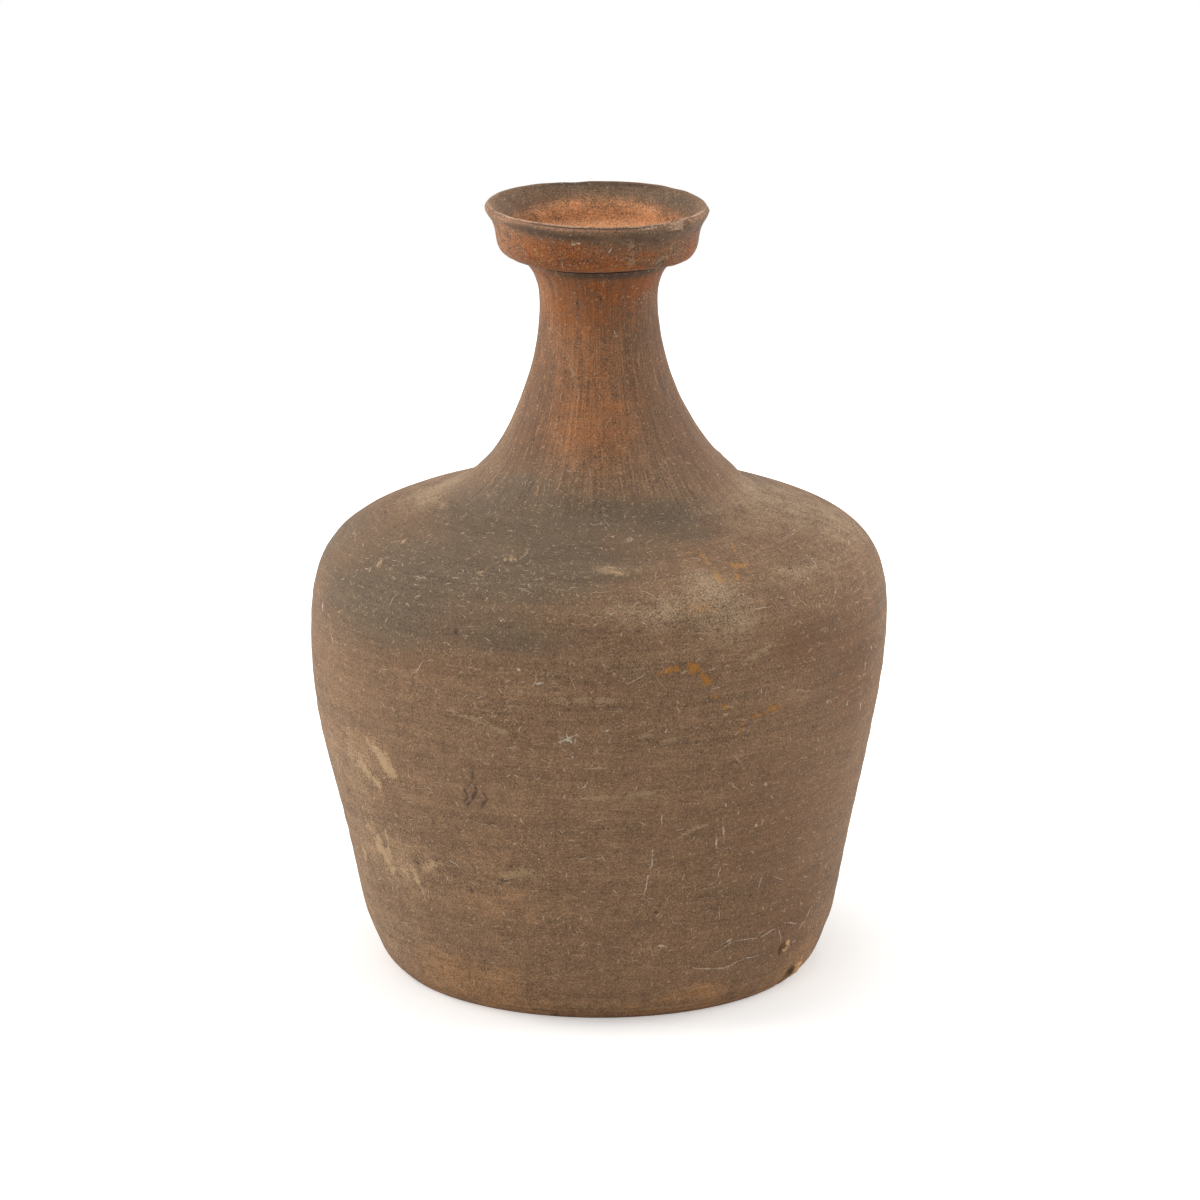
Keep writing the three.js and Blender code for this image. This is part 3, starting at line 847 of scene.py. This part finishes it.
def toned(tree, colour, layers, patterns):
    """A colour made lighter and darker by the patterns in the clay."""
    tones = [mixture(tree, patterns, finish) for finish in (WIPED, STROKED)]
    tone = add(tree, "Mix", [layers["stroked"], *tones], data_type="FLOAT")
    stronger = add(tree, "Math", [layers["blotched"], BLOTCHED_MORE, 1.0], operation="MULTIPLY_ADD")
    tone = add(tree, "Math", [tone, stronger, 1.0], operation="MULTIPLY_ADD")
    return add(tree, "VectorMath", {"Vector": colour, "Scale": tone}, operation="SCALE")


def marked(tree, colour, flat, patterns, low, high):
    """A colour under the marks that start between two places along the skin, in mm."""
    crumbly = mixture(tree, patterns, MARK_EDGES)
    for tint, cover, raggedness, marks in MARKS.values():
        near = [(width, places) for width, places in marks if low <= places[0][1] <= high]
        if near:
            rough_edge = add(tree, "Math", [crumbly, raggedness], operation="MULTIPLY")
            mask = mark_mask(tree, flat, near, cover, rough_edge)
            colour = add(tree, "Mix", [mask, colour, linear(tint)], data_type="RGBA")
    return colour


def share_held(tree, layers, patterns, share, dusty_more=DUSTY_MORE):
    """How many places hold a grain or a nick: it is patchy, and more where the clay is dusty."""
    patchy = add(tree, "Math", [patterns["drift"], GRIT_PATCHY, share], operation="MULTIPLY_ADD")
    return add(tree, "Math", [layers["dusty"], dusty_more, patchy], operation="MULTIPLY_ADD")


def sprinkled(tree, colour, mask, cover, number, tints):
    """A colour under grains or nicks, each in its own shade between two colours."""
    shade = add(tree, "Mix", [number, *(linear(code) for code in tints)], data_type="RGBA")
    mask = add(tree, "Math", [mask, cover], operation="MULTIPLY")
    return add(tree, "Mix", [mask, colour, shade], data_type="RGBA")


def nicked(tree, colour, flat, layers, patterns):
    """A colour under the nicks."""
    for spacing, length, width, share, cover, tints in NICKS.values():
        share = share_held(tree, layers, patterns, share)
        mask, number = nick_mask(tree, flat, spacing, length, width, share)
        colour = sprinkled(tree, colour, mask, cover, number, tints)
    return colour


def gritty(tree, colour, laid, layers, patterns):
    """A colour under the grit and the pores."""
    for grit, (way, spacing, share, size, cover, tints, where) in GRIT.items():
        share = share_held(tree, layers, patterns, share, 0 if grit == "pores" else DUSTY_MORE)
        mask, number = grit_mask(tree, laid[way], spacing, share, size, patterns["grain"])
        cover = add(tree, "Math", [layers[where], cover], operation="MULTIPLY")
        colour = sprinkled(tree, colour, mask, cover, number, tints)
    return colour


def earthenware(name, low, high, roughness):
    """Unglazed earthenware, with the marks that start between two places along the skin, in mm."""
    material = bpy.data.materials.new(name)
    tree = new_tree(material)
    layer_names = [*ZONE_COLOURS, "dusty", "blotched", "stroked", "along"]
    layers = {layer: add(tree, "Attribute", attribute_name=layer).outputs["Fac"] for layer in layer_names}
    layers["wiped"] = add(tree, "Math", [1.0, layers["stroked"]], operation="SUBTRACT")
    layers["everywhere"] = 1.0

    # Places over the jug, and round the wheel
    place = add(tree, "TexCoord").outputs["Object"]
    level = add(tree, "VectorMath", [place, (1, 1, 0)], operation="MULTIPLY")
    toward = add(tree, "VectorMath", [level], operation="NORMALIZE")
    climbed = add(tree, "CombineXYZ", [0, 0, layers["along"]])
    wheel = add(tree, "VectorMath", [toward, [LAYOUT_RADIUS] * 3, climbed], operation="MULTIPLY_ADD")
    laid = {"over": place, "round": wheel}

    # Patterns that swing about 0
    patterns = {}
    for pattern, (way, cell, detail) in PATTERNS.items():
        pitch = [1 / (size * MM) for size in cell]
        cells = add(tree, "VectorMath", [laid[way], pitch], operation="MULTIPLY")
        noise = add(tree, "TexNoise", {"Vector": cells, "Scale": 1, "Detail": detail})
        patterns[pattern] = add(tree, "Math", [noise, 0.5], operation="SUBTRACT")

    # The skin laid out flat for the marks and nicks, and all places bent out of line
    xyz = add(tree, "SeparateXYZ", [place])
    south = add(tree, "Math", [xyz.outputs["Y"], -1], operation="MULTIPLY")
    bearing = add(tree, "Math", [xyz.outputs["X"], south], operation="ARCTAN2")
    round_way = add(tree, "Math", [bearing, LAYOUT_RADIUS], operation="MULTIPLY")
    flat = add(tree, "CombineXYZ", [round_way, layers["along"], 0])
    bends = add(tree, "VectorMath", [place, [1 / (BENT_OVER * MM)] * 3], operation="MULTIPLY")
    bend = add(tree, "TexNoise", {"Vector": bends, "Scale": 1, "Detail": 2}).outputs["Color"]
    shift = add(tree, "VectorMath", [bend, [0.5] * 3], operation="SUBTRACT")
    flat = add(tree, "VectorMath", [shift, [BENT_BY * MM] * 3, flat], operation="MULTIPLY_ADD")
    flat = add(tree, "VectorMath", [flat, (1, 1, 0)], operation="MULTIPLY")
    grit_shift = [BENT_BY * GRIT_BENT * MM] * 3
    for way, spot in laid.items():
        laid[way] = add(tree, "VectorMath", [shift, grit_shift, spot], operation="MULTIPLY_ADD")

    colour = in_zones(tree, layers, patterns)
    colour = toned(tree, colour, layers, patterns)
    colour = marked(tree, colour, flat, patterns, low, high)
    colour = nicked(tree, colour, flat, layers, patterns)
    colour = gritty(tree, colour, laid, layers, patterns)
    relief = add(tree, "Bump", {"Height": mixture(tree, patterns, RELIEF), "Distance": MM})
    shader = add(tree, "BsdfPrincipled", {
        "Base Color": colour, "Roughness": roughness, "IOR": CLAY_IOR, "Normal": relief,
    })
    add(tree, "OutputMaterial", {"Surface": shader})
    return material


def slip_painted_shade(name):
    """Slip that shrank back in a joint, coloured dark as painted shade under the cup's overhang: a matt
    line.
    """
    material = bpy.data.materials.new(name)
    tree = new_tree(material)
    shader = add(tree, "BsdfPrincipled", {
        "Base Color": linear("#4c3a2d"), "Roughness": 0.95, "IOR": CLAY_IOR,
    })
    add(tree, "OutputMaterial", {"Surface": shader})
    return material


# Wiped round the wheel with a wet hand: level streaks and bands, matt, with grit showing through
wiped_clay = earthenware("wiped_brown_earthenware", low=0, high=192, roughness=0.9)
# Smoked by the fire: olive grey clouds with pale buff patches between them
smoked_clay = earthenware("smoked_earthenware", low=191, high=296, roughness=0.88)
# Stroked upwards with a damp finger: fine upright lines, orange, with a slight polish
stroked_clay = earthenware("stroked_orange_earthenware", low=295, high=480, roughness=0.8)
# The slip under the cup is coloured as painted shade under the cup's overhang
slip_in_painted_shade = slip_painted_shade("joint_slip_painted_shade")


# Pieces

# Steps round the pieces in degrees, with finer steps at the chips
WALL_TURN = 0.75
NECK_TURN = 0.9
CUP_TURN = 0.8
CUP_CHIP_SPANS = [(22, 54, 0.5), (-176, -160, 0.6)]
HEEL_CHIP_SPANS = [(44, 76, 0.4)]
fine_round = bearings(WALL_TURN, HEEL_CHIP_SPANS)
even_round = bearings(WALL_TURN)
neck_round = bearings(NECK_TURN)
cup_round = bearings(CUP_TURN, CUP_CHIP_SPANS)

# Rows of the cup, which lie closest over its lip: steps in mm
CUP_STEP = 0.6
LIP_STEP = 0.28
BOWL_STEP = 0.9
LIP_START = LIP_RUN - 8 * MM
LIP_END = LIP_RUN + 4 * MM
cup_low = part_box("mouth_cup")[0].z
cup_start = (outer_run(cup_low), CUP_STEP)
cup_end = (inner_run(cup_low), 0)
cup_rows = on_skin(runs(cup_start, (LIP_START, LIP_STEP), (LIP_END, BOWL_STEP), cup_end))

# Rows of the base disc. Its flat faces close at a small hub in their middle.
HUB = 2 * MM
UNDERSIDE_STEP = 8
RIM_WIDTH = 6 * MM
RIM_STEP = 1
BASE_EDGE_STEP = 0.5
LID_ROWS = 14
base_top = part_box("base_disc")[1].z
base_side = on_skin(runs((0, BASE_EDGE_STEP), (outer_run(base_top), 0)))
base_under = on_skin(runs((HUB - foot[0], UNDERSIDE_STEP), (-RIM_WIDTH, RIM_STEP), (0, 0))[:-1])
lid_radii = np.linspace(base_side[-1, 0], HUB, LID_ROWS)[1:]
base_lid = np.array([(radius, base_top, 0, 1, skin_run[-1]) for radius in lid_radii])
base_rows = np.vstack([base_under, base_side, base_lid])

# Slip shrank back a little in the joint on the base, and most under the cup at the front right
BASE_JOINT_DEPTH = 0.15 * MM
CUP_JOINT_DEPTH = 0.3 * MM
CUP_JOINT_DEEPER = 0.6 * MM
CUP_JOINT_BEARING = 20
CUP_JOINT_REACH = math.radians(38)
deeper = hill(turn_from(neck_round, CUP_JOINT_BEARING), 0, CUP_JOINT_REACH)
cup_joint_depth = CUP_JOINT_DEPTH + CUP_JOINT_DEEPER * deeper

pieces = {
    "base_disc": turned("base_disc_clay", base_rows, fine_round, solid=True),
    "base_slip": turned("base_joint_slip", ring_rows("base_slip"), fine_round, BASE_JOINT_DEPTH),
    "body_wall": turned("body_wall_clay", ring_rows("body_wall"), fine_round),
    "belly_slip": turned("belly_joint_slip", ring_rows("belly_slip"), even_round),
    "shoulder": turned("shoulder_clay", ring_rows("shoulder"), even_round),
    "neck_slip": turned("neck_joint_slip", ring_rows("neck_slip"), even_round),
    "neck": turned("neck_clay", ring_rows("neck"), neck_round),
    "cup_slip": turned("cup_joint_slip", ring_rows("cup_slip"), neck_round, cup_joint_depth),
    "mouth_cup": turned("mouth_cup_clay", cup_rows, cup_round),
}
# Slip in most joints was wiped over and fired like the clay beside it: only the one under the cup is dark,
# as painted shade
finishes = {
    "base_disc": wiped_clay,
    "base_slip": wiped_clay,
    "body_wall": wiped_clay,
    "belly_slip": wiped_clay,
    "shoulder": smoked_clay,
    "neck_slip": smoked_clay,
    "neck": stroked_clay,
    "cup_slip": slip_in_painted_shade,
    "mouth_cup": stroked_clay,
}
for node, piece in pieces.items():
    piece.data.materials.append(finishes[node])
    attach(piece, "root")
    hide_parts(node)


# Stage, light and camera

def seen_directly(tree):
    """1 for rays that show the stage itself: straight from the camera, mirrored or through glass."""
    path = add(tree, "LightPath").outputs
    seen = add(tree, "Math", [path["Is Camera Ray"], path["Is Glossy Ray"]], operation="MAXIMUM")
    return add(tree, "Math", [seen, path["Is Transmission Ray"]], operation="MAXIMUM")


# The paper glows by itself: little near the foot, where the shadow falls, and fully further out, in metres
SHADOW_RADIUS = 0.13
WHITE_RADIUS = 0.5
SHADOW_GLOW = 0.35


def studio_paper():
    """White paper: it shows the jug's shadow near the foot, and runs out to plain white."""
    material = bpy.data.materials.new("white_studio_paper")
    tree = new_tree(material)
    place = add(tree, "TexCoord").outputs["Object"]
    far = add(tree, "VectorMath", [place], operation="LENGTH")
    glow = add(tree, "MapRange", {
        "Value": far,
        "From Min": SHADOW_RADIUS,
        "From Max": WHITE_RADIUS,
        "To Min": SHADOW_GLOW,
        "To Max": 1.0,
    })
    strength = add(tree, "Math", [seen_directly(tree), glow], operation="MULTIPLY")
    paper = add(tree, "BsdfDiffuse", {"Color": linear("#f4f3f1")})
    light = add(tree, "Emission", {"Strength": strength})
    add(tree, "OutputMaterial", {"Surface": add(tree, "AddShader", [paper, light])})
    return material


FLOOR_RADIUS = 1.6
FLOOR_STEP = 5
floor_mesh = bpy.data.meshes.new("studio_floor")
floor_turns = np.radians(range(0, 360, FLOOR_STEP))
floor_edge = [(FLOOR_RADIUS * math.cos(turn), FLOOR_RADIUS * math.sin(turn), 0) for turn in floor_turns]
floor_mesh.from_pydata(floor_edge, [], [range(len(floor_edge))])
floor = bpy.data.objects.new("studio_floor", floor_mesh)
bpy.context.scene.collection.objects.link(floor)
floor.data.materials.append(studio_paper())

# Soft boxes: place, size in metres and power in watts. Each one faces the middle of the jug.
MIDDLE = Vector((0, 0, 0.2))
SOFT_BOXES = {
    "left_soft_box": ((-1.3, 0.1, 0.8), 1.1, 15),
    "right_soft_box": ((1.3, 0.3, 0.75), 1.1, 10.6),
    "top_soft_box": ((0, 0.1, 1.6), 1.2, 7.5),
    "front_soft_box": ((-0.3, -1.9, 1.3), 1.2, 6.5),
}
for name, (place, size, power) in SOFT_BOXES.items():
    lamp = bpy.data.lights.new(name, "AREA")
    lamp.size = size
    lamp.energy = power
    box = bpy.data.objects.new(name, lamp)
    box.location = place
    box.rotation_euler = (MIDDLE - box.location).to_track_quat("-Z", "Y").to_euler()
    bpy.context.scene.collection.objects.link(box)

ROOM_LIGHT = 0.37
world = bpy.data.worlds.new("white_studio")
tree = new_tree(world)
level = add(tree, "MapRange", {"Value": seen_directly(tree), "To Min": ROOM_LIGHT, "To Max": 1.0})
add(tree, "OutputWorld", {"Surface": add(tree, "Background", {"Color": (1, 1, 1, 1), "Strength": level})})
bpy.context.scene.world = world

# The camera looks down at the jug by about 15 degrees, through a long lens, in metres and mm
CAMERA_PLACE = (0, -3.2149, 1.0807)
CAMERA_AIM = Vector((0.0005, 0, 0.191))
LENS = 194
SENSOR_WIDTH = 36
camera = bpy.data.objects.new("photo_camera", bpy.data.cameras.new("photo_camera"))
camera.data.lens = LENS
camera.data.sensor_width = SENSOR_WIDTH
camera.location = CAMERA_PLACE
camera.rotation_euler = (CAMERA_AIM - camera.location).to_track_quat("-Z", "Y").to_euler()
bpy.context.scene.collection.objects.link(camera)
bpy.context.scene.camera = camera
bpy.context.scene.view_settings.view_transform = "Standard"
